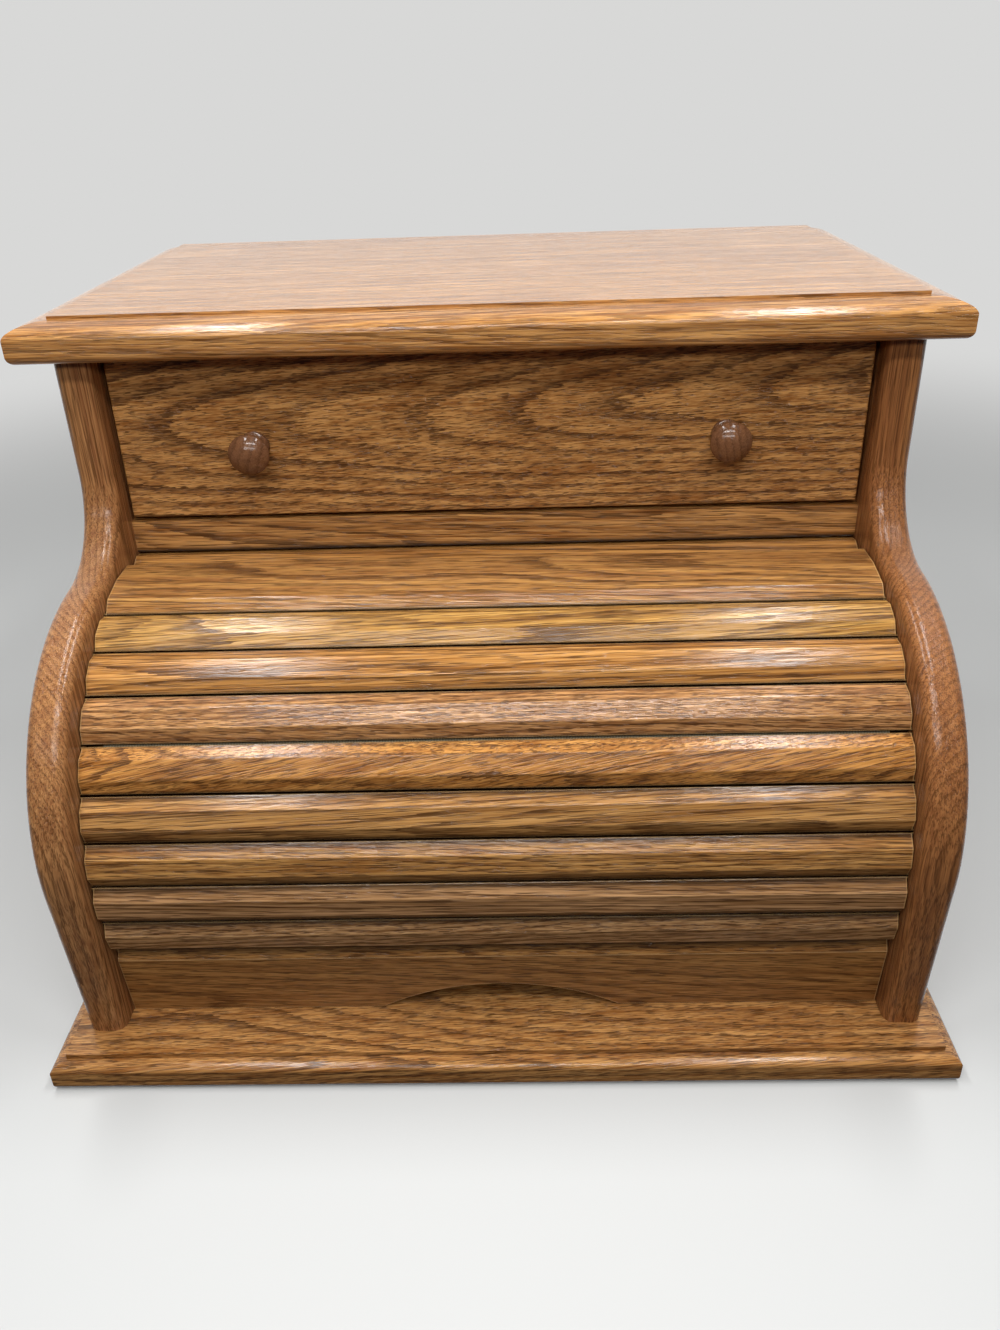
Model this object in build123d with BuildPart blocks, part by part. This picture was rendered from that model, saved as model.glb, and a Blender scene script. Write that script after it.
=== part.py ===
from build123d import *
import os
from math import asin, atan, ceil, cos, degrees, hypot, radians, sin, sqrt, tan

# Oak bread box: a roll-top tambour compartment with a drawer above it.
# Millimetres. X runs across the front, Y to the back and Z up. The origin is the middle of
# the footprint, on the surface that the base board stands on. The front faces -Y.

# Overall
overall_height = 362.5
overall_depth = 409.0  # nose of the base board to the flush back
inner_width = 400.0  # between the two side boards

# Board stock
side_thickness = 19.5
top_thickness = 20.5
base_thickness = 18.0
shelf_thickness = 18.5
back_thickness = 6.0

# Side boards: a leaning foot, a round bulge, a hollow neck and an upright
foot_lean = 4.9  # degrees, forwards going up
foot_length = 96.0
bulge_radius = 112.5
neck_radius = 44.7
upright_setback = 135.2  # front edge of the upright behind the toe
side_edge_rounding = 6.0
shelf_housing_depth = 5.0
back_housing_depth = 9.0

# Mouldings of the top and base boards: a small step, a thumb curve, a rounded lower edge
top_overhang_side = 15.6
top_overhang_front = 13.5
base_overhang_side = 14.0
base_overhang_front = 22.4
top_step_height = 1.6
top_thumb_width = 17.4
top_thumb_drop = 7.0
top_lower_rounding = 4.5
base_step_height = 2.8
base_thumb_width = 7.0
base_thumb_drop = 3.5
base_lower_rounding = 4.0

# Tambour: slats on canvas, their end tongues running in a round track
track_setback = 126.2  # centre of the track behind the toe
track_rise = 87.8  # centre of the track above the base board
tail_reach_angle = 66.0  # degrees up from the back: the slats end there or lower, under the shelf
slat_width = 22.9
slat_gap = 0.3  # between neighbours, at the canvas
slat_thickness = 9.5
slat_back_radius = 115.7
slat_bevel_width = 7.6
slat_bevel_angle = 18.0
slat_end_gap = 0.7  # shoulder to side board
slat_shelf_gap = 1.1  # crest of the slats to the lower edge of the shelf
tongue_thickness = 4.5
tongue_setback = 0.5  # in front of the canvas
tongue_length = 6.8
groove_depth = 8.0
groove_clearance = 0.3
groove_spare_angle = 4.0  # degrees of groove past the tongues, at each end
opening_angle = 95.0  # degrees that the tambour travels
canvas_thickness = 1.0
canvas_end_gap = 9.0  # canvas to side board

# Lift rail, hanging on the canvas below the slats
rail_joint_angle = 199.7  # degrees round the track, where the canvas bends
rail_lean = 6.2
rail_thickness = 8.0
rail_top_gap = 1.6
rail_foot_gap = 0.4
rail_edge_rounding = 1.2
notch_width = 126.0
notch_height = 18.0
hem_top_gap = 0.6
hem_height = 28.0

# Drawer
drawer_setback = 13.3  # face behind the front edge of the upright
shelf_setback = 1.0  # shelf edge behind the drawer face
drawer_end_gap = 2.0
drawer_foot_gap = 2.5
drawer_head_gap = 2.2
drawer_front_thickness = 19.0
drawer_front_easing = 1.2
drawer_front_lip = 9.5  # wood left in front of the rabbeted sides
drawer_side_thickness = 12.0
drawer_side_inset = 1.0  # behind the front's ends
drawer_side_run_gap = 0.3  # above the shelf
drawer_side_head_gap = 3.0
drawer_rear_gap = 0.5
drawer_back_thickness = 12.0
drawer_back_inset = 8.0  # sides run past the back
drawer_back_head_gap = 4.0
drawer_bottom_thickness = 5.0
drawer_bottom_rise = 8.0
drawer_groove_depth = 5.0
drawer_bottom_gap = 0.2

# Knobs, turned and screwed on from inside the drawer
knob_spacing = 250.4
knob_drop = 5.2  # below the middle of the drawer front
knob_diameter = 21.8
knob_height = 20.5
knob_rim_height = 15.0
knob_rim_rounding = 2.2  # behind the rim
knob_rim_easing = 1.2  # between the rim and the domed face
knob_neck_diameter = 11.0
knob_neck_height = 6.5
knob_flange_diameter = 16.5
knob_flange_height = 2.5
knob_screw_diameter = 4.0
knob_screw_depth = 11.0
knob_screw_head_diameter = 8.0
knob_screw_head_height = 2.6

# Fastenings of the carcass
fastenings_per_side = 3
fastening_inset = 7.5  # from the outer face of the side board
hole_clearance = 0.05
base_screw_diameter = 4.2
base_screw_length = 42.0
base_screw_head_diameter = 8.4
base_screw_sink = 0.5
base_screw_margin = 50.0
dowel_diameter = 8.0
dowel_length = 32.0
dowel_in_top = 12.0
dowel_margin = 35.0
dowel_chamfer = 1.0
hole_end_gap = 0.5

# Places that follow from the sizes above
half_width = inner_width / 2
outer_x = half_width + side_thickness
front_y = -overall_depth / 2
back_y = overall_depth / 2
toe_y = front_y + base_overhang_front
upright_y = toe_y + upright_setback
panel_y = back_y - back_thickness
top_under_z = overall_height - top_thickness
fastening_x = outer_x - fastening_inset

track_y = toe_y + track_setback
track_z = base_thickness + track_rise
slat_face_radius = slat_back_radius + slat_thickness
slat_bevel_depth = slat_bevel_width * tan(radians(slat_bevel_angle))
pitch_angle = 2 * degrees(atan((slat_width + slat_gap) / 2 / slat_back_radius))
slat_count = ceil((rail_joint_angle - tail_reach_angle) / pitch_angle)
tail_angle = rail_joint_angle - slat_count * pitch_angle
tongue_back_radius = slat_back_radius + tongue_setback
tongue_front_radius = tongue_back_radius + tongue_thickness
groove_inner_radius = tongue_back_radius - groove_clearance
groove_outer_radius = hypot(tongue_front_radius, slat_width / 2) + groove_clearance

drawer_face_y = upright_y + drawer_setback
shelf_front_y = drawer_face_y + shelf_setback
slat_crest_radius = hypot(slat_face_radius, slat_width / 2 - slat_bevel_width)
slat_crest_z = track_z + sqrt(slat_crest_radius**2 - max(shelf_front_y - track_y, 0) ** 2)
shelf_under_z = slat_crest_z + slat_shelf_gap
shelf_top_z = shelf_under_z + shelf_thickness


def along(first, last, count):
    """Evenly spaced places from first to last."""
    return [first + i * (last - first) / (count - 1) for i in range(count)]


base_screw_ys = along(toe_y + base_screw_margin, back_y - base_screw_margin, fastenings_per_side)
dowel_ys = along(upright_y + dowel_margin, panel_y - dowel_margin, fastenings_per_side)


def on_both_sides(ys):
    """Plan points of the fastenings in the left and right side boards."""
    return [(hand * fastening_x, y) for hand in (-1, 1) for y in ys]


def finish(piece, name):
    """Label a finished piece, write its file and say what it is."""
    piece.part.label = name
    export_step(piece.part, f"parts/{name}.step")
    print(f"{name}: {len(piece.part.solids())} solid, {piece.part.volume / 1000:.1f} cm3")


os.makedirs("parts", exist_ok=True)


# ---- side boards ----------------------------------------------------------------------


def side_outline():
    """Outline of a side board, with Y across and Z up."""
    lean = radians(foot_lean)
    foot = PolarLine((toe_y, base_thickness), foot_length, 90 + foot_lean)
    bulge_centre = foot @ 1 + Vector(cos(lean), sin(lean)) * bulge_radius
    neck_centre_y = upright_y - neck_radius
    reach = bulge_radius + neck_radius
    rise = sqrt(reach**2 - (neck_centre_y - bulge_centre.X) ** 2)
    neck_centre = Vector(neck_centre_y, bulge_centre.Y + rise)
    turn = bulge_centre + (neck_centre - bulge_centre) * (bulge_radius / reach)
    bulge = TangentArc(foot @ 1, turn, tangent=foot % 1)
    neck = TangentArc(bulge @ 1, (upright_y, neck_centre.Y), tangent=bulge % 1)
    Polyline(
        neck @ 1,
        (upright_y, top_under_z),
        (back_y, top_under_z),
        (back_y, base_thickness),
        foot @ 0,
    )


groove_line = CenterArc(
    (track_y, track_z),
    (groove_inner_radius + groove_outer_radius) / 2,
    tail_angle - opening_angle - groove_spare_angle,
    slat_count * pitch_angle + opening_angle + 2 * groove_spare_angle,
)
for name, hand in (("side_left", -1), ("side_right", 1)):
    inner_face = Plane.YZ.offset(hand * half_width)
    with BuildPart() as side_board:
        with BuildSketch(inner_face):
            with BuildLine():
                side_outline()
            make_face()
        extrude(amount=hand * side_thickness)
        outline_edges = side_board.edges().filter_by(Plane.YZ)
        fillet(outline_edges.filter_by(lambda e: e.center().Y < upright_y + 1), side_edge_rounding)
        # round groove for the tongues of the slats
        with BuildSketch(inner_face):
            SlotArc(groove_line, groove_outer_radius - groove_inner_radius)
        extrude(amount=hand * groove_depth, mode=Mode.SUBTRACT)
        # housings of the drawer shelf and of the back panel
        with BuildSketch(inner_face):
            with Locations((shelf_front_y, shelf_under_z)):
                Rectangle(back_y - shelf_front_y, shelf_thickness, align=Align.MIN)
        extrude(amount=hand * shelf_housing_depth, mode=Mode.SUBTRACT)
        with BuildSketch(inner_face):
            with Locations((panel_y, base_thickness)):
                Rectangle(back_thickness, top_under_z - base_thickness, align=Align.MIN)
        extrude(amount=hand * back_housing_depth, mode=Mode.SUBTRACT)
        # holes for the screws from below and the dowels from above
        with BuildSketch(Plane.XY.offset(base_thickness)):
            with Locations(*[(hand * fastening_x, y) for y in base_screw_ys]):
                Circle(base_screw_diameter / 2 + hole_clearance)
        screw_in_side = base_screw_sink + base_screw_length - base_thickness
        extrude(amount=screw_in_side + hole_end_gap, mode=Mode.SUBTRACT)
        with BuildSketch(Plane.XY.offset(top_under_z)):
            with Locations(*[(hand * fastening_x, y) for y in dowel_ys]):
                Circle(dowel_diameter / 2 + hole_clearance)
        extrude(amount=dowel_in_top - dowel_length - hole_end_gap, mode=Mode.SUBTRACT)
    finish(side_board, name)


# ---- moulded boards -------------------------------------------------------------------


def moulded_section(length, field_z, under_z, step_height, thumb_width, thumb_drop, rounding):
    """Section of a moulded board, cut off square at x = 0, with its nose at x = length."""
    step_x = length - thumb_width
    nose_z = field_z - step_height - thumb_drop
    Polyline(
        (step_x, field_z - step_height),
        (step_x, field_z),
        (0, field_z),
        (0, under_z),
        (length - rounding, under_z),
    )
    CenterArc((length - rounding, under_z + rounding), rounding, 0, -90)
    Line((length, under_z + rounding), (length, nose_z))
    EllipticalCenterArc((step_x, nose_z), thumb_width, thumb_drop, arc_size=90)


def moulded_board(half_length, nose_y, *edge):
    """A board moulded along its front and both ends, square and flush at the back."""
    with BuildPart() as board:
        with BuildSketch(Plane.XZ.offset(-back_y)):
            with BuildLine():
                moulded_section(half_length, *edge)
            make_face()
            mirror(about=Plane.YZ)
        extrude(amount=back_y - nose_y)
        with BuildSketch(Plane(origin=(0, back_y, 0), x_dir=(0, -1, 0), z_dir=(-1, 0, 0))):
            with BuildLine():
                moulded_section(back_y - nose_y, *edge)
            make_face()
        extrude(amount=half_length, both=True, mode=Mode.INTERSECT)
    return board.part


top_edge = (
    overall_height,
    top_under_z,
    top_step_height,
    top_thumb_width,
    top_thumb_drop,
    top_lower_rounding,
)
with BuildPart() as top_board:
    add(moulded_board(outer_x + top_overhang_side, upright_y - top_overhang_front, *top_edge))
    with BuildSketch(Plane.XY.offset(top_under_z)):
        with Locations(*on_both_sides(dowel_ys)):
            Circle(dowel_diameter / 2 + hole_clearance)
    extrude(amount=dowel_in_top + hole_end_gap, mode=Mode.SUBTRACT)
finish(top_board, "top_board")

base_edge = (
    base_thickness,
    0,
    base_step_height,
    base_thumb_width,
    base_thumb_drop,
    base_lower_rounding,
)
with BuildPart() as base_board:
    add(moulded_board(outer_x + base_overhang_side, front_y, *base_edge))
    with Locations(*[Location((x, y, 0), (180, 0, 0)) for x, y in on_both_sides(base_screw_ys)]):
        CounterSinkHole(
            base_screw_diameter / 2 + hole_clearance,
            base_screw_head_diameter / 2 + base_screw_sink + 2 * hole_clearance,
            depth=base_thickness,
            counter_sink_angle=90,
        )
finish(base_board, "base_board")


# ---- shelf and back panel -------------------------------------------------------------

with BuildPart() as drawer_shelf:
    with BuildSketch(Plane.XY.offset(shelf_under_z)):
        with Locations((0, shelf_front_y)):
            shelf_length = inner_width + 2 * shelf_housing_depth
            Rectangle(shelf_length, panel_y - shelf_front_y, align=(Align.CENTER, Align.MIN))
    extrude(amount=shelf_thickness)
finish(drawer_shelf, "drawer_shelf")

with BuildPart() as back_panel:
    with BuildSketch(Plane.XY.offset(base_thickness)):
        with Locations((0, panel_y)):
            panel_length = inner_width + 2 * back_housing_depth
            Rectangle(panel_length, back_thickness, align=(Align.CENTER, Align.MIN))
    extrude(amount=top_under_z - base_thickness)
finish(back_panel, "back_panel")


# ---- screws and dowels of the carcass -------------------------------------------------

with BuildPart() as base_screws:
    shank = base_screw_diameter / 2
    head = base_screw_head_diameter / 2
    for x, y in on_both_sides(base_screw_ys):
        with BuildSketch(Plane((x, y, base_screw_sink), x_dir=(1, 0, 0), z_dir=(0, -1, 0))):
            with BuildLine():
                Polyline(
                    (0, 0),
                    (head, 0),
                    (shank, head - shank),
                    (shank, base_screw_length - 2 * shank),
                    (0, base_screw_length),
                    close=True,
                )
            make_face()
        revolve(axis=Axis((x, y, 0), (0, 0, 1)))
finish(base_screws, "base_screws")

with BuildPart() as top_dowels:
    with BuildSketch(Plane.XY.offset(top_under_z + dowel_in_top)):
        with Locations(*on_both_sides(dowel_ys)):
            Circle(dowel_diameter / 2)
    extrude(amount=-dowel_length)
    chamfer(top_dowels.edges().filter_by(GeomType.CIRCLE), dowel_chamfer)
finish(top_dowels, "top_dowels")


# ---- tambour --------------------------------------------------------------------------


def radial_plane(angle):
    """Plane across the tambour: x outwards from the middle of the track, y round it."""
    outwards = (0, cos(radians(angle)), sin(radians(angle)))
    return Plane((0, track_y, track_z), x_dir=outwards, z_dir=(1, 0, 0))


shoulder_x = half_width - slat_end_gap
slat_edge_radius = slat_face_radius - slat_bevel_depth
for index in range(slat_count):
    slat_plane = radial_plane(rail_joint_angle - (index + 0.5) * pitch_angle)
    with BuildPart() as slat:
        with BuildSketch(slat_plane):
            with BuildLine():
                Polyline(
                    (slat_back_radius, -slat_width / 2),
                    (slat_edge_radius, -slat_width / 2),
                    (slat_face_radius, slat_bevel_width - slat_width / 2),
                    (slat_face_radius, slat_width / 2 - slat_bevel_width),
                    (slat_edge_radius, slat_width / 2),
                    (slat_back_radius, slat_width / 2),
                    close=True,
                )
            make_face()
        extrude(amount=shoulder_x, both=True)
        with BuildSketch(slat_plane):
            with Locations((tongue_back_radius, 0)):
                Rectangle(tongue_thickness, slat_width, align=(Align.MIN, Align.CENTER))
        extrude(amount=half_width + tongue_length, both=True)
    finish(slat, f"slat_{index + 1:02d}")

with BuildPart() as tambour_canvas:
    with BuildSketch(radial_plane(0)):
        with BuildLine():
            # the canvas lies flat behind each slat and bends between them
            fold = cos(radians(pitch_angle / 2))
            folds = [tail_angle + i * pitch_angle for i in range(slat_count + 1)]
            front = [Vector(slat_back_radius / fold, 0).rotate(Axis.Z, a) for a in folds]
            rear_radius = (slat_back_radius - canvas_thickness) / fold
            rear = [Vector(rear_radius, 0).rotate(Axis.Z, a) for a in reversed(folds)]
            Polyline(*front, *rear, close=True)
        make_face()
    extrude(amount=half_width - canvas_end_gap, both=True)
finish(tambour_canvas, "tambour_canvas")

# The rail's own plane starts at the last fold: x outwards, y down towards the base.
joint_y = track_y + slat_back_radius * cos(radians(rail_joint_angle))
joint_z = track_z + slat_back_radius * sin(radians(rail_joint_angle))
lean = radians(rail_lean)
rail_plane = Plane((0, joint_y, joint_z), x_dir=(0, -cos(lean), -sin(lean)), z_dir=(1, 0, 0))
rail_foot_z = base_thickness + rail_foot_gap
rail_length = (joint_z - rail_foot_z) / cos(lean)
notch_radius = (notch_width**2 / 4 + notch_height**2) / (2 * notch_height)
with BuildPart() as lift_rail:
    with BuildSketch(rail_plane):
        with BuildLine():
            Polyline(
                (0, rail_top_gap),
                (rail_thickness - slat_bevel_depth, rail_top_gap),
                (rail_thickness, rail_top_gap + slat_bevel_width),
                (rail_thickness, rail_length - rail_thickness * tan(lean)),
                (0, rail_length),
                close=True,
            )
        make_face()
    extrude(amount=shoulder_x, both=True)
    with BuildSketch(Plane.XZ.offset(-joint_y)):
        with Locations((0, rail_foot_z + notch_height - notch_radius)):
            Circle(notch_radius)
    extrude(amount=2 * rail_thickness, both=True, mode=Mode.SUBTRACT)
    face_edges = lift_rail.faces().sort_by(Axis.Y)[0].edges()
    foot_edges = face_edges.filter_by(lambda e: abs(e.center().X) < shoulder_x).sort_by(Axis.Z)[:-1]
    fillet(foot_edges, rail_edge_rounding)
finish(lift_rail, "lift_rail")

with BuildPart() as canvas_hem:
    with BuildSketch(rail_plane):
        with Locations((0, hem_top_gap)):
            Rectangle(canvas_thickness, hem_height, align=(Align.MAX, Align.MIN))
    extrude(amount=half_width - canvas_end_gap, both=True)
finish(canvas_hem, "canvas_hem")


# ---- drawer ---------------------------------------------------------------------------

drawer_x = half_width - drawer_end_gap
drawer_side_x = drawer_x - drawer_side_inset
drawer_inner_x = drawer_side_x - drawer_side_thickness
front_foot_z = shelf_top_z + drawer_foot_gap
front_height = top_under_z - drawer_head_gap - front_foot_z
front_middle_z = front_foot_z + front_height / 2
knob_z = front_middle_z - knob_drop
side_foot_z = shelf_top_z + drawer_side_run_gap
side_height = top_under_z - drawer_side_head_gap - side_foot_z
lip_y = drawer_face_y + drawer_front_lip
front_rear_y = drawer_face_y + drawer_front_thickness
drawer_rear_y = panel_y - drawer_rear_gap
drawer_back_y = drawer_rear_y - drawer_back_inset
bottom_z = side_foot_z + drawer_bottom_rise
bottom_groove = drawer_bottom_thickness + 2 * drawer_bottom_gap
bottom_head_z = bottom_z + drawer_bottom_thickness
knob_places = ((-knob_spacing / 2, knob_z), (knob_spacing / 2, knob_z))

with BuildPart() as drawer_front:
    with BuildSketch(Plane.XZ.offset(-drawer_face_y)):
        with Locations((0, front_middle_z)):
            Rectangle(2 * drawer_x, front_height)
    extrude(amount=-drawer_front_thickness)
    fillet(drawer_front.faces().sort_by(Axis.Y)[0].edges(), drawer_front_easing)
    # rabbets that the sides stand in, groove of the bottom, holes of the knob screws
    with BuildSketch(Plane.XZ.offset(-lip_y)):
        with Locations((-drawer_inner_x, front_middle_z)):
            Rectangle(drawer_side_thickness + 2, front_height, align=(Align.MAX, Align.CENTER))
        with Locations((drawer_inner_x, front_middle_z)):
            Rectangle(drawer_side_thickness + 2, front_height, align=(Align.MIN, Align.CENTER))
    extrude(amount=-drawer_front_thickness, mode=Mode.SUBTRACT)
    with BuildSketch(Plane.XZ.offset(-front_rear_y)):
        with Locations((0, bottom_z - drawer_bottom_gap)):
            Rectangle(2 * drawer_x, bottom_groove, align=(Align.CENTER, Align.MIN))
    extrude(amount=drawer_groove_depth, mode=Mode.SUBTRACT)
    with BuildSketch(Plane.XZ.offset(-drawer_face_y)):
        with Locations(*knob_places):
            Circle(knob_screw_diameter / 2 + hole_clearance)
    extrude(amount=-drawer_front_thickness, mode=Mode.SUBTRACT)
finish(drawer_front, "drawer_front")

for name, hand in (("drawer_side_left", -1), ("drawer_side_right", 1)):
    with BuildPart() as drawer_side:
        with BuildSketch(Plane.YZ.offset(hand * drawer_inner_x)):
            with Locations((lip_y, side_foot_z)):
                Rectangle(drawer_rear_y - lip_y, side_height, align=Align.MIN)
        extrude(amount=hand * drawer_side_thickness)
        with BuildSketch(Plane.YZ.offset(hand * drawer_inner_x)):
            with Locations((lip_y, bottom_z - drawer_bottom_gap)):
                Rectangle(drawer_rear_y - lip_y, bottom_groove, align=Align.MIN)
        extrude(amount=hand * drawer_groove_depth, mode=Mode.SUBTRACT)
    finish(drawer_side, name)

with BuildPart() as drawer_back:
    with BuildSketch(Plane.XZ.offset(-drawer_back_y)):
        with Locations((0, bottom_head_z)):
            back_height = side_foot_z + side_height - drawer_back_head_gap - bottom_head_z
            Rectangle(2 * drawer_inner_x, back_height, align=(Align.CENTER, Align.MIN))
    extrude(amount=drawer_back_thickness)
finish(drawer_back, "drawer_back")

with BuildPart() as drawer_bottom:
    with BuildSketch(Plane.XY.offset(bottom_z)):
        bottom_front_y = front_rear_y - drawer_groove_depth + drawer_bottom_gap
        with Locations((0, bottom_front_y)):
            bottom_length = 2 * (drawer_inner_x + drawer_groove_depth - drawer_bottom_gap)
            Rectangle(bottom_length, drawer_back_y - bottom_front_y, align=(Align.CENTER, Align.MIN))
    extrude(amount=drawer_bottom_thickness)
finish(drawer_bottom, "drawer_bottom")


# ---- knobs and their screws -----------------------------------------------------------


def knob_profile():
    """Half profile of a knob, x out of the drawer and y from its axis."""
    flange = knob_flange_diameter / 2
    neck = knob_neck_diameter / 2
    rim = knob_diameter / 2
    throat = (knob_rim_height - knob_rim_rounding, rim - knob_rim_rounding)
    Polyline((knob_height, 0), (0, 0), (0, flange), (knob_flange_height, flange))
    ThreePointArc((knob_flange_height, flange), (knob_neck_height, neck), throat)
    TangentArc((knob_rim_height, rim), throat, tangent=(-1, 0))
    dome_height = knob_height - knob_rim_height
    dome_radius = (rim**2 + dome_height**2) / (2 * dome_height)
    dome_span = degrees(asin(rim / dome_radius))
    CenterArc((knob_height - dome_radius, 0), dome_radius, 0, dome_span)


for side, place in zip(("left", "right"), knob_places):
    centre = Vector(place[0], drawer_face_y, place[1])
    outwards = (0, -1, 0)
    with BuildPart() as knob:
        with BuildSketch(Plane(centre, x_dir=outwards, z_dir=(1, 0, 0))) as knob_section:
            with BuildLine():
                knob_profile()
            make_face()
            fillet(knob_section.vertices().sort_by(Axis.Y)[-1], knob_rim_easing)
        revolve(axis=Axis(centre, outwards))
        with BuildSketch(Plane(centre, z_dir=outwards)):
            Circle(knob_screw_diameter / 2 + hole_clearance)
        extrude(amount=knob_screw_depth + hole_end_gap, mode=Mode.SUBTRACT)
    finish(knob, f"knob_{side}")
    with BuildPart() as knob_screw:
        with BuildSketch(Plane(centre + Vector(0, drawer_front_thickness), z_dir=outwards)):
            Circle(knob_screw_diameter / 2)
        extrude(amount=drawer_front_thickness + knob_screw_depth)
        with BuildSketch(Plane(centre + Vector(0, drawer_front_thickness), z_dir=outwards)):
            Circle(knob_screw_head_diameter / 2)
        extrude(amount=-knob_screw_head_height)
        fillet(knob_screw.faces().sort_by(Axis.Y)[-1].edges(), knob_screw_head_height / 2)
    finish(knob_screw, f"knob_screw_{side}")
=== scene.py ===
import math
import random

import bmesh
import bpy
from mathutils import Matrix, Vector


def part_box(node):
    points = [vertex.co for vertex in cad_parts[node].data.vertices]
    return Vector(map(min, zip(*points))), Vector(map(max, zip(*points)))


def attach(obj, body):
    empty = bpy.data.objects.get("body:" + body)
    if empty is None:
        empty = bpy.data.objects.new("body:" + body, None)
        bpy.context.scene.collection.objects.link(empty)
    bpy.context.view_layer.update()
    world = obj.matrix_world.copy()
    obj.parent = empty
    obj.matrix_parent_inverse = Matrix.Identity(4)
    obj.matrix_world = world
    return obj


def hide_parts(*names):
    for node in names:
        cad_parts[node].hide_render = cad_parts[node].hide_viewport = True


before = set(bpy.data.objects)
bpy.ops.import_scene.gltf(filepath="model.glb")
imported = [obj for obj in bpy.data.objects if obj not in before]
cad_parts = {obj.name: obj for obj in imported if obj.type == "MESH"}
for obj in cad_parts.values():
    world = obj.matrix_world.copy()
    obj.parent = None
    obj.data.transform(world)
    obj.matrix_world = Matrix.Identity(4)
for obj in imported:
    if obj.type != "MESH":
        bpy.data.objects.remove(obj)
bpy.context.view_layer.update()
print("frame loaded:", len(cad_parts), "pieces")


def linearColour(hexColour):
    # sRGB hex to the linear values that the shader sockets take
    channels = [int(hexColour[i:i + 2], 16) / 255 for i in (1, 3, 5)]
    return [c / 12.92 if c <= 0.04045 else ((c + 0.055) / 1.055) ** 2.4 for c in channels] + [1]


def addNode(tree, kind, inputs=None, **settings):
    # a new node with its settings; inputs are either plain values or sockets to link from
    node = tree.nodes.new(kind)
    for name, value in settings.items():
        setattr(node, name, value)
    for key, value in (inputs or {}).items():
        if isinstance(value, bpy.types.NodeSocket):
            tree.links.new(value, node.inputs[key])
        else:
            node.inputs[key].default_value = value
    return node


def startMaterial(name):
    material = bpy.data.materials.new(name)
    material.use_nodes = True
    return material, material.node_tree, material.node_tree.nodes["Principled BSDF"]


def dress(nodeNames, material):
    for nodeName in nodeNames:
        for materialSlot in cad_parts[nodeName].material_slots:
            materialSlot.material = material


# mm and degrees, as in the solids
track = {
    "centre": (-55.9, 105.8),  # y and z of the axis that the tambour rolls about
    "railAngle": 199.7,  # where slat_01 meets the lift rail
    "pitch": 11.4506,  # from slat to slat
    "back": 115.7,  # from the axis to the backs of the slats
    "face": 125.2,  # from the axis to their faces
    "edges": (-11.45, 11.45),  # from the middle of a slat to its seams
}

# mm; the bevels along the slats and along the top of the rail: as in the solids, which only have
# them flat and shallow, and as they are here, steeper and with their arrises sanded round
bevel = {"width": 7.6, "depth": 2.469, "newWidth": 6.35, "newDepth": 4.4, "arris": 0.5, "steps": 3}

mending = {
    "weld": 1e-6,  # m, corners this near each other are one
    "flat": 0.5,  # degrees, up to which faces are joined
    "near": 0.2,  # mm, how near to its place a corner is looked for
    "fullLength": 0.3,  # m, longer edges run the whole length of a slat
    "sharp": 31,  # degrees, from which an edge is shaded sharp
}


def steepened(nodeName, body, origin, turn, face, edges):
    # origin: mm, y and z that the piece is measured from; turn: degrees, its outward direction
    # face: mm, how far out its face lies; edges: mm, where its bevels end, across the piece
    form = bmesh.new()
    form.from_mesh(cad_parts[nodeName].data)
    bmesh.ops.remove_doubles(form, verts=form.verts, dist=mending["weld"])
    bmesh.ops.dissolve_limit(form, angle_limit=math.radians(mending["flat"]), verts=form.verts,
                             edges=form.edges)
    outward = Vector((0, math.cos(math.radians(turn)), math.sin(math.radians(turn))))
    sideways = Vector((0, -outward.z, outward.y))
    start = Vector((0, origin[0], origin[1])) / 1000
    arrises = []
    for vert in form.verts:
        height = 1000 * (vert.co - start).dot(outward) - face
        place = 1000 * (vert.co - start).dot(sideways)
        for edge in edges:
            # the face lies between two bevels, or beyond the only one
            inward = math.copysign(1, sum(edges) - 2 * edge if len(edges) > 1 else edge)
            offSeam = max(abs(height + bevel["depth"]), abs(place - edge))
            offArris = max(abs(height), abs(place - edge - inward * bevel["width"]))
            if offSeam < mending["near"]:
                vert.co += outward * (bevel["depth"] - bevel["newDepth"]) / 1000
                arrises.append(vert)
            if offArris < mending["near"]:
                vert.co += sideways * inward * (bevel["newWidth"] - bevel["width"]) / 1000
                arrises.append(vert)
    between = [e for e in form.edges if e.verts[0] in arrises and e.verts[1] in arrises]
    sandArrises(form, between)
    return finished(form, nodeName + "Sanded", body, [nodeName])


def sandArrises(form, edges):
    # rounds those of the edges that run the whole length
    long = [e for e in edges if e.calc_length() > mending["fullLength"]]
    bmesh.ops.bevel(form, geom=long, offset=bevel["arris"] / 1000, segments=bevel["steps"],
                    profile=0.5, affect="EDGES", material=-1)


def finished(form, name, body, nodeNames):
    # the form as a piece that takes the nodes' places and moves with the body
    mesh = bpy.data.meshes.new(name)
    form.to_mesh(mesh)
    form.free()
    mesh.shade_smooth()
    mesh.set_sharp_from_angle(angle=math.radians(mending["sharp"]))
    piece = bpy.data.objects.new(name, mesh)
    bpy.context.scene.collection.objects.link(piece)
    piece.modifiers.new("flatFaces", "WEIGHTED_NORMAL").keep_sharp = True
    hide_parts(*nodeNames)
    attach(piece, body)
    return piece


def slatAngle(nodeName):
    # degrees, the direction from the track's axis to the middle of a slat
    return track["railAngle"] - (int(nodeName[-2:]) - 0.5) * track["pitch"]


def onTrack(angle, out, across):
    # m; out from the track's axis, and across the slat towards the rail, both in mm
    outward = Vector((0, math.cos(math.radians(angle)), math.sin(math.radians(angle))))
    sideways = Vector((0, -outward.z, outward.y))
    return (Vector((0, *track["centre"])) + out * outward + across * sideways) / 1000


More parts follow.
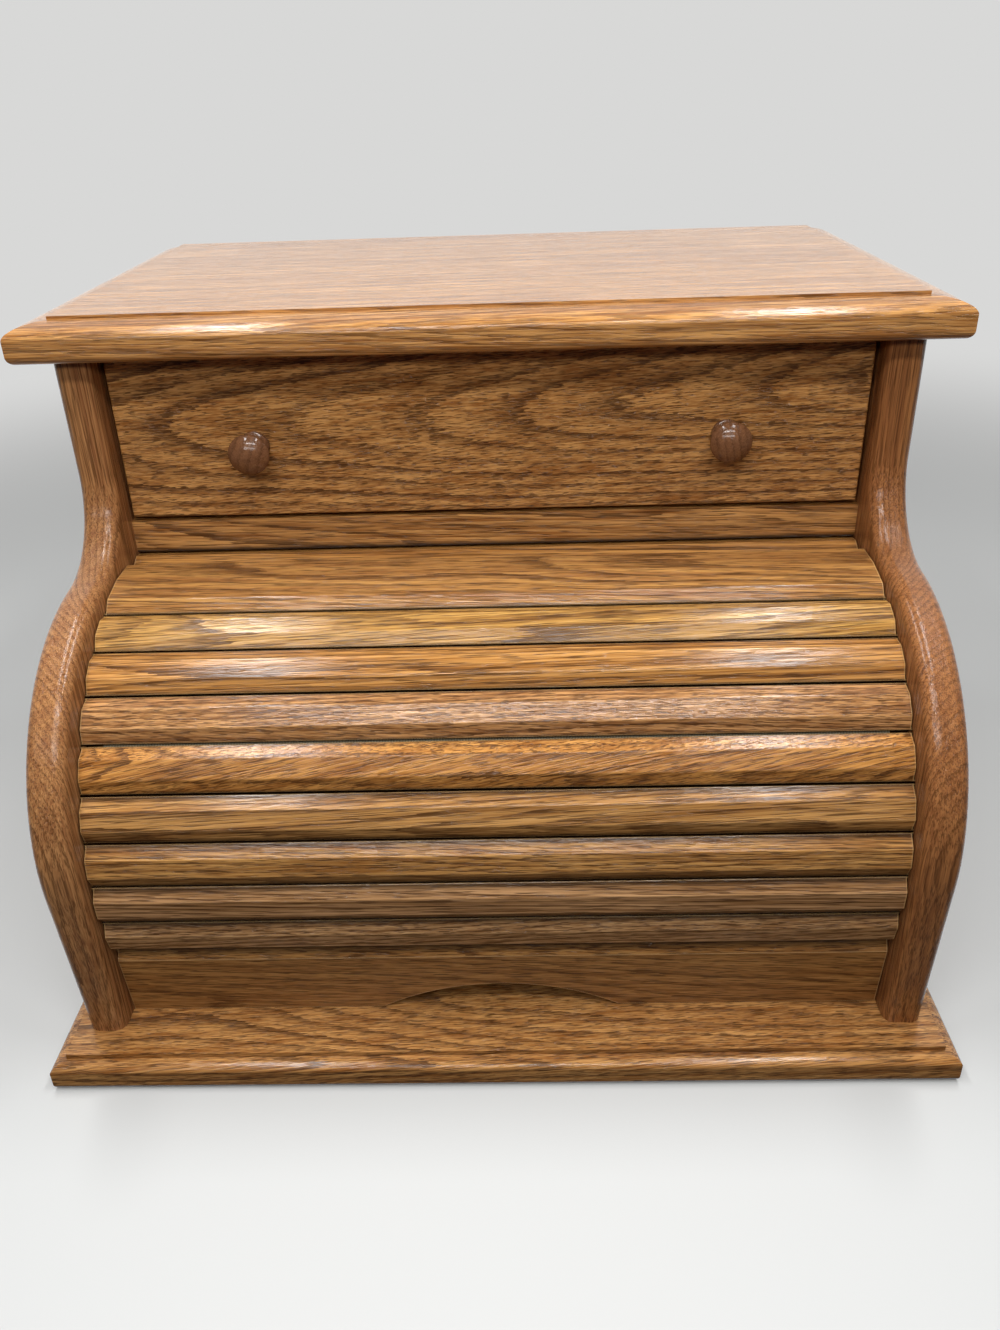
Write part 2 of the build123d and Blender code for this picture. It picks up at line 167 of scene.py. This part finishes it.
def addBar(form, outline, start, end):
    # a straight bar along X between two places in mm
    ends = [[form.verts.new(point + Vector((x / 1000, 0, 0))) for point in outline]
            for x in (start, end)]
    for corners in ends:
        form.faces.new(corners)
    for i in range(len(outline)):
        form.faces.new((ends[0][i - 1], ends[0][i], ends[1][i], ends[1][i - 1]))


# red oak, planed and sanded, stained honey and sprayed with satin lacquer: dark porous bands
# between pale dense ones, open pores along the grain, one clear reflection over all of it
oak = {
    "light": "#D29A5A",
    "warm": "#955E2C",
    "dark": "#653A18",
    "pore": "#3A200E",
    "ringWidth": 3.0,  # mm from ring to ring, seen on the end of the board
    "bandDepth": 0.72,  # how dark the porous band gets
    "faintestBand": 0.45,  # of that depth, in a poor year
    "poreDepth": 0.7,  # how dark the pores get
    "crowding": 0.13,  # how much closer the pores stand in the porous band
    "poreEdge": (0.555, 0.62),  # of the noise, where a pore starts and where it is deepest
    "wander": 14,  # mm that the rings bend out of true
    "uneven": 3.0,  # rings that their widths add up or fall short by
    "torn": 0.5,  # rings by which the edge of a band is ragged
    "broken": 0.2,  # rings by which the pores break it up
    "streaks": 0.7,  # share of the wide streaks next to the fine fibres
    "fibreEdge": (0.68, 1.02),  # of the noise, where light wood ends and where warm wood starts
    "bareRoughness": 0.5,  # of the wood under the lacquer
    "lacquer": 0.85,
    "lacquerRoughness": 0.13,
    "reliefHeight": 0.0002,  # m, depth of the open pores
    "reliefStrength": 0.6,
    "fibreRelief": 0.35,  # of that depth, along the fibres
    # colour of the painted shade low between the bevels and along the shelf's lower edge
    "paintedShade": "#2A180B",
}
# how dark a ring is, from the start of its porous band to the end of its dense one
ringShape = ((0.0, 1.0), (0.14, 0.9), (0.36, 0.3), (0.62, 0.0), (0.95, 0.04))
# painted highlight along the arrises, a pale colour where the lacquer's streaks of light would be:
# m, how wide;
# how alike the rounded and the true direction are at their start and at their middle; and how much
# of it shows there
paintedHighlightMask = {"radius": 0.0011, "samples": 4, "start": 0.995, "middle": 0.96, "amount": 0.6}
# sizes in mm, along the grain and across it twice, and the noise's detail
oakPatterns = {
    "wander": ((240, 70, 70), 1),  # rings bend slowly along the trunk
    "ragged": ((70, 1.5, 1.5), 3),  # torn edge of each porous band
    "pore": ((22, 0.5, 0.5), 1.0),  # real pores are 0.3 mm wide, drawn wider so that they show
    "fibre": ((130, 0.8, 0.8), 3),
    "streak": ((260, 4, 4), 3),  # paler and darker streaks, a few mm wide
    "tone": ((180, 45, 45), 1),
}


def oakBoard(name, pith, turn, **changes):
    # pith: mm, a point on the middle of the trunk that the board was sawn from
    # turn: degrees, the trunk's direction; unturned, it lies along X
    board = {**oak, **changes}
    material, tree, shader = startMaterial(name)
    place = addNode(tree, "ShaderNodeTexCoord").outputs["Object"]
    trunk = addNode(tree, "ShaderNodeMapping", {
        "Vector": place,
        "Location": [c / 1000 for c in pith],
        "Rotation": [math.radians(a) for a in turn],
        "Scale": (0.001, 0.001, 0.001),
    }, vector_type="TEXTURE").outputs["Vector"]

    noise = {}
    for patternName, (size, detail) in oakPatterns.items():
        scaled = addNode(tree, "ShaderNodeVectorMath", {0: trunk, 1: [1 / s for s in size]},
                         operation="MULTIPLY")
        texture = addNode(tree, "ShaderNodeTexNoise", {
            "Vector": scaled.outputs[0], "Scale": 1.0, "Detail": detail, "Roughness": 0.55,
        })
        noise[patternName] = texture.outputs
    centred = addNode(tree, "ShaderNodeVectorMath", {
        0: noise["wander"]["Color"], 1: (0.5, 0.5, 0.5),
    }, operation="SUBTRACT").outputs[0]
    bent = addNode(tree, "ShaderNodeVectorMath", {
        0: centred, 1: (0, board["wander"], board["wander"]), 2: trunk,
    }, operation="MULTIPLY_ADD").outputs[0]
    across = addNode(tree, "ShaderNodeVectorMath", {0: bent, 1: (0, 1, 1)},
                     operation="MULTIPLY").outputs[0]
    radius = addNode(tree, "ShaderNodeVectorMath", {0: across}, operation="LENGTH").outputs["Value"]
    rings = addNode(tree, "ShaderNodeMath", {0: radius, 1: board["ringWidth"]},
                    operation="DIVIDE").outputs[0]
    # each noise shifts the rings by its share
    for patternName, share in (("tone", "uneven"), ("ragged", "torn"), ("pore", "broken")):
        rings = addNode(tree, "ShaderNodeMath", {
            0: noise[patternName]["Fac"], 1: board[share], 2: rings,
        }, operation="MULTIPLY_ADD").outputs[0]
    phase = addNode(tree, "ShaderNodeMath", {0: rings}, operation="FRACT").outputs[0]
    ringNumber = addNode(tree, "ShaderNodeMath", {0: rings}, operation="FLOOR").outputs[0]
    ringTone = addNode(tree, "ShaderNodeTexWhiteNoise", {"W": ringNumber},
                       noise_dimensions="1D").outputs["Value"]

    band = addNode(tree, "ShaderNodeValToRGB", {"Fac": phase})
    ramp = band.color_ramp
    ramp.interpolation = "EASE"
    while len(ramp.elements) < len(ringShape):
        ramp.elements.new(ringShape[len(ramp.elements)][0])
    for element, (position, darkness) in zip(ramp.elements, ringShape):
        element.position = position
        element.color = (darkness, darkness, darkness, 1)
    ringDepth = addNode(tree, "ShaderNodeMapRange", {
        "Value": ringTone, "To Min": board["faintestBand"],
    }).outputs["Result"]
    porousBand = addNode(tree, "ShaderNodeMath", {0: band.outputs["Color"], 1: ringDepth},
                         operation="MULTIPLY").outputs[0]

    # pores stand close together in the porous band and far apart between the bands
    crowded = addNode(tree, "ShaderNodeMath", {
        0: porousBand, 1: board["crowding"], 2: noise["pore"]["Fac"],
    }, operation="MULTIPLY_ADD").outputs[0]
    pores = addNode(tree, "ShaderNodeMapRange", {
        "Value": crowded, "From Min": board["poreEdge"][0], "From Max": board["poreEdge"][1],
    }).outputs["Result"]

    streaked = addNode(tree, "ShaderNodeMath", {
        0: noise["streak"]["Fac"], 1: board["streaks"], 2: noise["fibre"]["Fac"],
    }, operation="MULTIPLY_ADD").outputs[0]
    fibres = addNode(tree, "ShaderNodeMapRange", {
        "Value": streaked, "From Min": board["fibreEdge"][0], "From Max": board["fibreEdge"][1],
    }).outputs["Result"]
    wood = addNode(tree, "ShaderNodeMix", {
        0: fibres, 6: linearColour(board["light"]), 7: linearColour(board["warm"]),
    }, data_type="RGBA").outputs[2]
    bandAmount = addNode(tree, "ShaderNodeMath", {0: porousBand, 1: board["bandDepth"]},
                         operation="MULTIPLY")
    banded = addNode(tree, "ShaderNodeMix", {
        0: bandAmount.outputs[0], 6: wood, 7: linearColour(board["dark"]),
    }, data_type="RGBA").outputs[2]
    poreAmount = addNode(tree, "ShaderNodeMath", {0: pores, 1: board["poreDepth"]},
                         operation="MULTIPLY")
    colour = addNode(tree, "ShaderNodeMix", {
        0: poreAmount.outputs[0], 6: banded, 7: linearColour(board["pore"]),
    }, data_type="RGBA").outputs[2]
    if "valley" in board:
        # painted shade, darker the nearer the tambour's axis: low between the bevels and along the
        # shelf's lower edge; mm from the tambour's axis
        centre = [c / 1000 for c in track["centre"]]
        spoke = addNode(tree, "ShaderNodeVectorMath", {0: place, 1: (0, *centre)},
                        operation="SUBTRACT").outputs[0]
        spoke = addNode(tree, "ShaderNodeVectorMath", {0: spoke, 1: (0, 1000, 1000)},
                        operation="MULTIPLY").outputs[0]
        height = addNode(tree, "ShaderNodeVectorMath", {0: spoke},
                         operation="LENGTH").outputs["Value"]
        unshaded = addNode(tree, "ShaderNodeMapRange", {
            "Value": height, "From Min": board["valley"][0], "From Max": board["valley"][1],
        }, interpolation_type="SMOOTHSTEP").outputs["Result"]
        colour = addNode(tree, "ShaderNodeMix", {
            0: unshaded, 6: linearColour(board["paintedShade"]), 7: colour,
        }, data_type="RGBA").outputs[2]
    if "worn" in board:
        # painted highlight: a pale colour along the arrises
        rounded = addNode(tree, "ShaderNodeBevel", {"Radius": paintedHighlightMask["radius"]},
                          samples=paintedHighlightMask["samples"]).outputs["Normal"]
        flat = addNode(tree, "ShaderNodeNewGeometry").outputs["Normal"]
        alike = addNode(tree, "ShaderNodeVectorMath", {0: rounded, 1: flat},
                        operation="DOT_PRODUCT").outputs["Value"]
        highlighted = addNode(tree, "ShaderNodeMapRange", {
            "Value": alike, "From Min": paintedHighlightMask["start"], "From Max": paintedHighlightMask["middle"],
            "To Max": paintedHighlightMask["amount"],
        }).outputs["Result"]
        colour = addNode(tree, "ShaderNodeMix", {
            0: highlighted, 6: colour, 7: linearColour(board["worn"]),
        }, data_type="RGBA").outputs[2]
    hollows = addNode(tree, "ShaderNodeMath", {0: fibres, 1: board["fibreRelief"], 2: pores},
                      operation="MULTIPLY_ADD").outputs[0]
    relief = addNode(tree, "ShaderNodeBump", {
        "Height": hollows, "Strength": board["reliefStrength"], "Distance": board["reliefHeight"],
    }, invert=True).outputs["Normal"]

    tree.links.new(colour, shader.inputs["Base Color"])
    tree.links.new(relief, shader.inputs["Normal"])
    tree.links.new(relief, shader.inputs["Coat Normal"])
    shader.inputs["Roughness"].default_value = board["bareRoughness"]
    # the lacquer alone mirrors
    shader.inputs["Specular IOR Level"].default_value = 0.0
    shader.inputs["Coat Weight"].default_value = board["lacquer"]
    shader.inputs["Coat Roughness"].default_value = board["lacquerRoughness"]
    return material


# each board is sawn from its own place in a trunk, so no two show the same grain
dress(["drawer_front"], oakBoard(
    "flatSawnOakDrawerFront", (-95, 17, 303), (0, -3, -4.5), ringWidth=4.6, wander=6, uneven=1.4,
))
dress(["top_board"], oakBoard(
    "riftSawnOakTop", (0, 330, 120), (0, 1, 1.5), bandDepth=0.45, poreDepth=0.5, lacquer=1.0,
))
dress(["base_board"], oakBoard("flatSawnOakBase", (-30, -150, -60), (0, -4, 3), ringWidth=4.0))
dress(["side_left"], oakBoard(
    "uprightOakLeft", (-150, -60, 0), (2, -90, 2), light="#BC8654", warm="#94603A",
    bandDepth=0.45, poreDepth=0.5,
))
dress(["side_right"], oakBoard(
    "uprightOakRight", (140, -40, 0), (2, -90, -2), light="#AE7444", warm="#885430",
    bandDepth=0.45, poreDepth=0.5,
))

# painted shade; mm from the tambour's axis: up to the first it covers all, and past the second none
# is left
valleys = {
    "rail": (119.5, 123.5),
    "lowSlats": (121.0, 123.4),
    "slats": (120.9, 122.3),
    "shelf": 3.5,  # up from its lower edge
}
# the shelf gets painted shadow along its lower edge, where the gap beneath it lies dark
low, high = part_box("drawer_shelf")
lowEdge = math.hypot(1000 * low[1] - track["centre"][0], 1000 * low[2] - track["centre"][1])
dress(["drawer_shelf"], oakBoard(
    "oakShelf", (0, 120, 190), (0, 1.5, 1), valley=(lowEdge, lowEdge + valleys["shelf"]),
))

# its only bevel is the one along its top
rail = {"origin": (-164.828, 66.798), "turn": 186.2, "face": 8.0, "edges": (1.6,)}
piece = steepened("lift_rail", "lift_rail", **rail)
# with painted shade towards the tambour's axis and a painted highlight along its arris
piece.data.materials.append(oakBoard(
    "oakLiftRail", (0, -110, 20), (0, 2, 2), light="#B5834A", warm="#8E5E30", bandDepth=0.5,
    valley=valleys["rail"], worn="#E0B27A",
))

# the topmost slat that shows is twice as wide as the others: two flats that meet in one arris
wideSlat = {
    "nodes": ("slat_09", "slat_10"),
    "shoulder": 199.3,  # mm from the middle, along the slat
    "tongueEnd": 206.8,
    "tongue": (116.2, 120.7),  # mm from the axis
    "light": "#C5904F",
    "warm": "#986333",
    # pale colour of the painted highlight along its arrises
    "worn": "#E6B878",
}
lower, upper = (slatAngle(nodeName) for nodeName in wideSlat["nodes"])
fold = (lower + upper) / 2
stretch = 1 / math.cos(math.radians(track["pitch"] / 2))
edge = track["edges"][1]
inner = edge - bevel["newWidth"]
outline = [
    onTrack(lower, track["back"], edge),
    onTrack(lower, track["face"] - bevel["newDepth"], edge),
    onTrack(lower, track["face"], inner),
    onTrack(fold, track["face"] * stretch, 0),
    onTrack(upper, track["face"], -inner),
    onTrack(upper, track["face"] - bevel["newDepth"], -edge),
    onTrack(upper, track["back"], -edge),
    onTrack(fold, track["back"] * stretch, 0),
]
form = bmesh.new()
addBar(form, outline, -wideSlat["shoulder"], wideSlat["shoulder"])
sandArrises(form, form.edges)
tongueBack, tongueFace = wideSlat["tongue"]
for angle in (lower, upper):
    tongue = [onTrack(angle, out, across) for out, across in (
        (tongueBack, edge), (tongueFace, edge), (tongueFace, -edge), (tongueBack, -edge),
    )]
    addBar(form, tongue, -wideSlat["tongueEnd"], -wideSlat["shoulder"])
    addBar(form, tongue, wideSlat["shoulder"], wideSlat["tongueEnd"])
bmesh.ops.recalc_face_normals(form, faces=form.faces)
piece = finished(form, "wideSlat", "tambour", wideSlat["nodes"])
# with painted shade between its bevels and a painted highlight along its arrises
piece.data.materials.append(oakBoard(
    "oakWideStrip", (120, -60, 330), (0, 1.5, -1), light=wideSlat["light"], warm=wideSlat["warm"],
    valley=valleys["slats"], worn=wideSlat["worn"],
))

# the strips' own tones, light and warm, from the lowest strip up
stripTones = {
    "slat_01": ("#C59868", "#8E643C"),
    "slat_02": ("#CC9C6C", "#93683E"),
    "slat_03": ("#D09A58", "#97632F"),
    "slat_04": ("#D19C5C", "#996733"),
    "slat_05": ("#D69850", "#9C622A"),
    "slat_06": ("#D09A62", "#8C5C32"),
    "slat_07": ("#D69C58", "#9A642C"),
    "slat_08": ("#D8A65A", "#A07034"),
    "slat_11": ("#C68E4C", "#A06A34"),
    "slat_12": ("#C79250", "#A26E38"),
}
# mm and degrees; where in a trunk a strip may come from, and the angle from which it is a low one;
# and the colour of the painted highlight along their arrises
strips = {"fromPith": (30, 110), "along": 900, "turn": 3, "lowFrom": 158, "worn": "#E6B878"}
# sawn slantwise, so its rings cross it as flames
flamedStrip = {"node": "slat_05", "pith": (-120, -105, 135), "turn": (0, -11, 4)}
stripMaker = random.Random(12)
for nodeName, (light, warm) in stripTones.items():
    low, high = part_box(nodeName)
    middle = [1000 * (a + b) / 2 for a, b in zip(low, high)]
    distance = stripMaker.uniform(*strips["fromPith"])
    direction = stripMaker.uniform(0, 2 * math.pi)
    pith = (
        stripMaker.uniform(-strips["along"], strips["along"]),
        middle[1] + distance * math.cos(direction),
        middle[2] + distance * math.sin(direction),
    )
    turn = (0, *(stripMaker.uniform(-strips["turn"], strips["turn"]) for _ in range(2)))
    if nodeName == flamedStrip["node"]:
        pith, turn = flamedStrip["pith"], flamedStrip["turn"]
    # painted shade: the lower strips, which the strip above shades, get a wider band of it
    angle = slatAngle(nodeName)
    valley = valleys["lowSlats"] if angle > strips["lowFrom"] else valleys["slats"]
    piece = steepened(nodeName, "tambour", track["centre"], angle, track["face"], track["edges"])
    piece.data.materials.append(oakBoard(
        "oakStrip" + nodeName[-2:], pith, turn, light=light, warm=warm, valley=valley,
        worn=strips["worn"],
    ))
print("oak done")

dress(["knob_left", "knob_right"], oakBoard(
    "turnedOakKnob", (0, 0, 260), (0, 0, 82), light="#84593B", warm="#70492F", dark="#52331F",
    ringWidth=4, bandDepth=0.5, poreDepth=0.3, lacquerRoughness=0.1, reliefHeight=0.00003,
))
dress(["drawer_side_left", "drawer_side_right", "drawer_back"], oakBoard(
    "planedPoplar", (0, 90, 200), (0, 1, 88), light="#C9A878", warm="#BC9868", dark="#9C7748",
    ringWidth=6, bandDepth=0.35, poreDepth=0.15,
))
dress(["drawer_bottom", "back_panel"], oakBoard(
    "oakFacedPly", (0, 260, 170), (0, 4, 2), light="#B48752", warm="#A57743", dark="#7C5228",
    ringWidth=5,
))
dress(["top_dowels"], oakBoard(
    "beechDowel", (0, 0, 0), (0, 90, 0), light="#C9A47A", warm="#BF976B", dark="#A97F55",
    bandDepth=0.2, poreDepth=0.1,
))

# mild steel, zinc plated: bright, slightly blue, soft reflections
steel = {"Base Color": linearColour("#B9BCC0"), "Metallic": 1.0, "Roughness": 0.32}
material, tree, shader = startMaterial("zincPlatedSteel")
for socketName, value in steel.items():
    shader.inputs[socketName].default_value = value
dress(["base_screws", "knob_screw_left", "knob_screw_right"], material)

# plain woven cotton duck, unbleached; mm from thread to thread
cloth = {"thread": 1.4, "light": "#C6BBA0", "dark": "#94886C", "roughness": 0.9}
material, tree, shader = startMaterial("cottonDuck")
place = addNode(tree, "ShaderNodeTexCoord").outputs["Object"]
scaled = addNode(tree, "ShaderNodeVectorMath", {
    0: place, 1: [2000 * math.pi / cloth["thread"]] * 3,
}, operation="MULTIPLY").outputs[0]
waves = addNode(tree, "ShaderNodeVectorMath", {0: scaled}, operation="SINE").outputs[0]
parts = addNode(tree, "ShaderNodeSeparateXYZ", {0: waves}).outputs
crossing = addNode(tree, "ShaderNodeMath", {0: parts["X"], 1: parts["Z"]},
                   operation="MULTIPLY").outputs[0]
weave = addNode(tree, "ShaderNodeMapRange", {"Value": crossing, "From Min": -1.0}).outputs["Result"]
colour = addNode(tree, "ShaderNodeMix", {
    0: weave, 6: linearColour(cloth["dark"]), 7: linearColour(cloth["light"]),
}, data_type="RGBA").outputs[2]
tree.links.new(colour, shader.inputs["Base Color"])
shader.inputs["Roughness"].default_value = cloth["roughness"]
dress(["tambour_canvas", "canvas_hem"], material)
print("other finishes done")

# plain pale floor: white melamine that fades into the backdrop's grey away from the object
floor = {
    "size": 8.0,  # m, as are all its measures
    "below": 0.0002,  # the object's underside
    "colour": "#D4D5D4",
    "roughness": 0.7,
    "fadeFrom": 0.55,
    "fadeTo": 1.6,
    "backdrop": "#D8D8D7",
}
bpy.ops.mesh.primitive_plane_add(size=floor["size"], location=(0, 0, -floor["below"]))
floorPlane = bpy.context.object
floorPlane.name = "floor"
material, tree, shader = startMaterial("paleFloor")
shader.inputs["Base Color"].default_value = linearColour(floor["colour"])
shader.inputs["Roughness"].default_value = floor["roughness"]
output = tree.nodes["Material Output"]
place = addNode(tree, "ShaderNodeTexCoord").outputs["Object"]
distance = addNode(tree, "ShaderNodeVectorMath", {0: place}, operation="LENGTH").outputs["Value"]
fade = addNode(tree, "ShaderNodeMapRange", {
    "Value": distance, "From Min": floor["fadeFrom"], "From Max": floor["fadeTo"],
}, interpolation_type="SMOOTHSTEP").outputs["Result"]
seen = addNode(tree, "ShaderNodeLightPath").outputs["Is Camera Ray"]
amount = addNode(tree, "ShaderNodeMath", {0: fade, 1: seen}, operation="MULTIPLY").outputs[0]
glow = addNode(tree, "ShaderNodeEmission", {
    "Color": linearColour(floor["backdrop"]), "Strength": 1.0,
})
faded = addNode(tree, "ShaderNodeMixShader", {0: amount, 1: shader.outputs[0], 2: glow.outputs[0]})
tree.links.new(faded.outputs[0], output.inputs["Surface"])
floorPlane.data.materials.append(material)
floorPlane.visible_glossy = False
floorPlane.visible_diffuse = False

# soft boxes of a photo tent: two tubes that run from front to back under its roof, one across
# the front of the roof, and a weak wide one low in front; m and W
roofTube = {"size": (0.12, 0.9), "watts": 7.4}
frontTube = {"size": (0.7, 0.08), "watts": 3.7}
lowTube = {"size": (0.8, 0.1), "watts": 2.1}
softBoxes = {
    "roofLeft": {"at": (-0.37, -0.05, 1.2), "aim": (-0.37, -0.05, 0), **roofTube},
    "roofRight": {"at": (0.37, -0.05, 1.2), "aim": (0.37, -0.05, 0), **roofTube},
    "roofFront": {"at": (0, -0.64, 0.95), "aim": (0, -0.14, 0.2), **frontTube},
    "lowFront": {"at": (-0.05, -0.75, 0.65), "aim": (0, -0.05, 0.28), **lowTube},
}
for name, box in softBoxes.items():
    lamp = bpy.data.lights.new(name, "AREA")
    lamp.shape = "RECTANGLE"
    lamp.size, lamp.size_y = box["size"]
    lamp.energy = box["watts"]
    lampObject = bpy.data.objects.new(name, lamp)
    bpy.context.scene.collection.objects.link(lampObject)
    lampObject.location = box["at"]
    aim = Vector(box["aim"]) - Vector(box["at"])
    lampObject.rotation_euler = aim.to_track_quat("-Z", "Y").to_euler()

# the surroundings light the object softly and show as a pale grey backdrop; the room in front,
# which only the lacquer mirrors, is darker
surroundings = {
    "light": 0.06,
    "mirroredFront": 0.08,
    "mirroredBack": 1.5,
    "turnFrom": -0.1,  # Y of the direction, from which the room gets brighter
    "turnTo": 0.6,
}
world = bpy.data.worlds.new("paleSurroundings")
bpy.context.scene.world = world
world.use_nodes = True
tree = world.node_tree
paths = addNode(tree, "ShaderNodeLightPath").outputs
mirrored = addNode(tree, "ShaderNodeMath", {
    0: paths["Is Glossy Ray"], 1: paths["Is Transmission Ray"],
}, operation="MAXIMUM").outputs[0]
direction = addNode(tree, "ShaderNodeTexCoord").outputs["Generated"]
backward = addNode(tree, "ShaderNodeSeparateXYZ", {0: direction}).outputs["Y"]
reflection = addNode(tree, "ShaderNodeMapRange", {
    "Value": backward, "From Min": surroundings["turnFrom"], "From Max": surroundings["turnTo"],
    "To Min": surroundings["mirroredFront"], "To Max": surroundings["mirroredBack"],
}).outputs["Result"]
unseen = addNode(tree, "ShaderNodeMix", {
    0: mirrored, 2: surroundings["light"], 3: reflection,
}).outputs[0]
strength = addNode(tree, "ShaderNodeMix", {0: paths["Is Camera Ray"], 2: unseen, 3: 1.0}).outputs[0]
background = tree.nodes["Background"]
background.inputs["Color"].default_value = linearColour(floor["backdrop"])
tree.links.new(strength, background.inputs["Strength"])

# the photograph's view
view = {
    "at": (0.0162, -0.5754, 0.4625),
    "turn": (62.07, 1.78, 0.825),
    "focal": 1.0543,  # in widths of the picture
    "shift": (0.0052, -0.0337),
    "nearest": 0.01,
}
camera = bpy.data.cameras.new("photoView")
camera.sensor_fit = "HORIZONTAL"
camera.lens = view["focal"] * camera.sensor_width
camera.shift_x, camera.shift_y = view["shift"]
camera.clip_start = view["nearest"]
cameraObject = bpy.data.objects.new("photoView", camera)
cameraObject.location = view["at"]
cameraObject.rotation_euler = [math.radians(a) for a in view["turn"]]
bpy.context.scene.collection.objects.link(cameraObject)
bpy.context.scene.camera = cameraObject
bpy.context.scene.view_settings.view_transform = "Standard"
print("stage, lights and camera done")
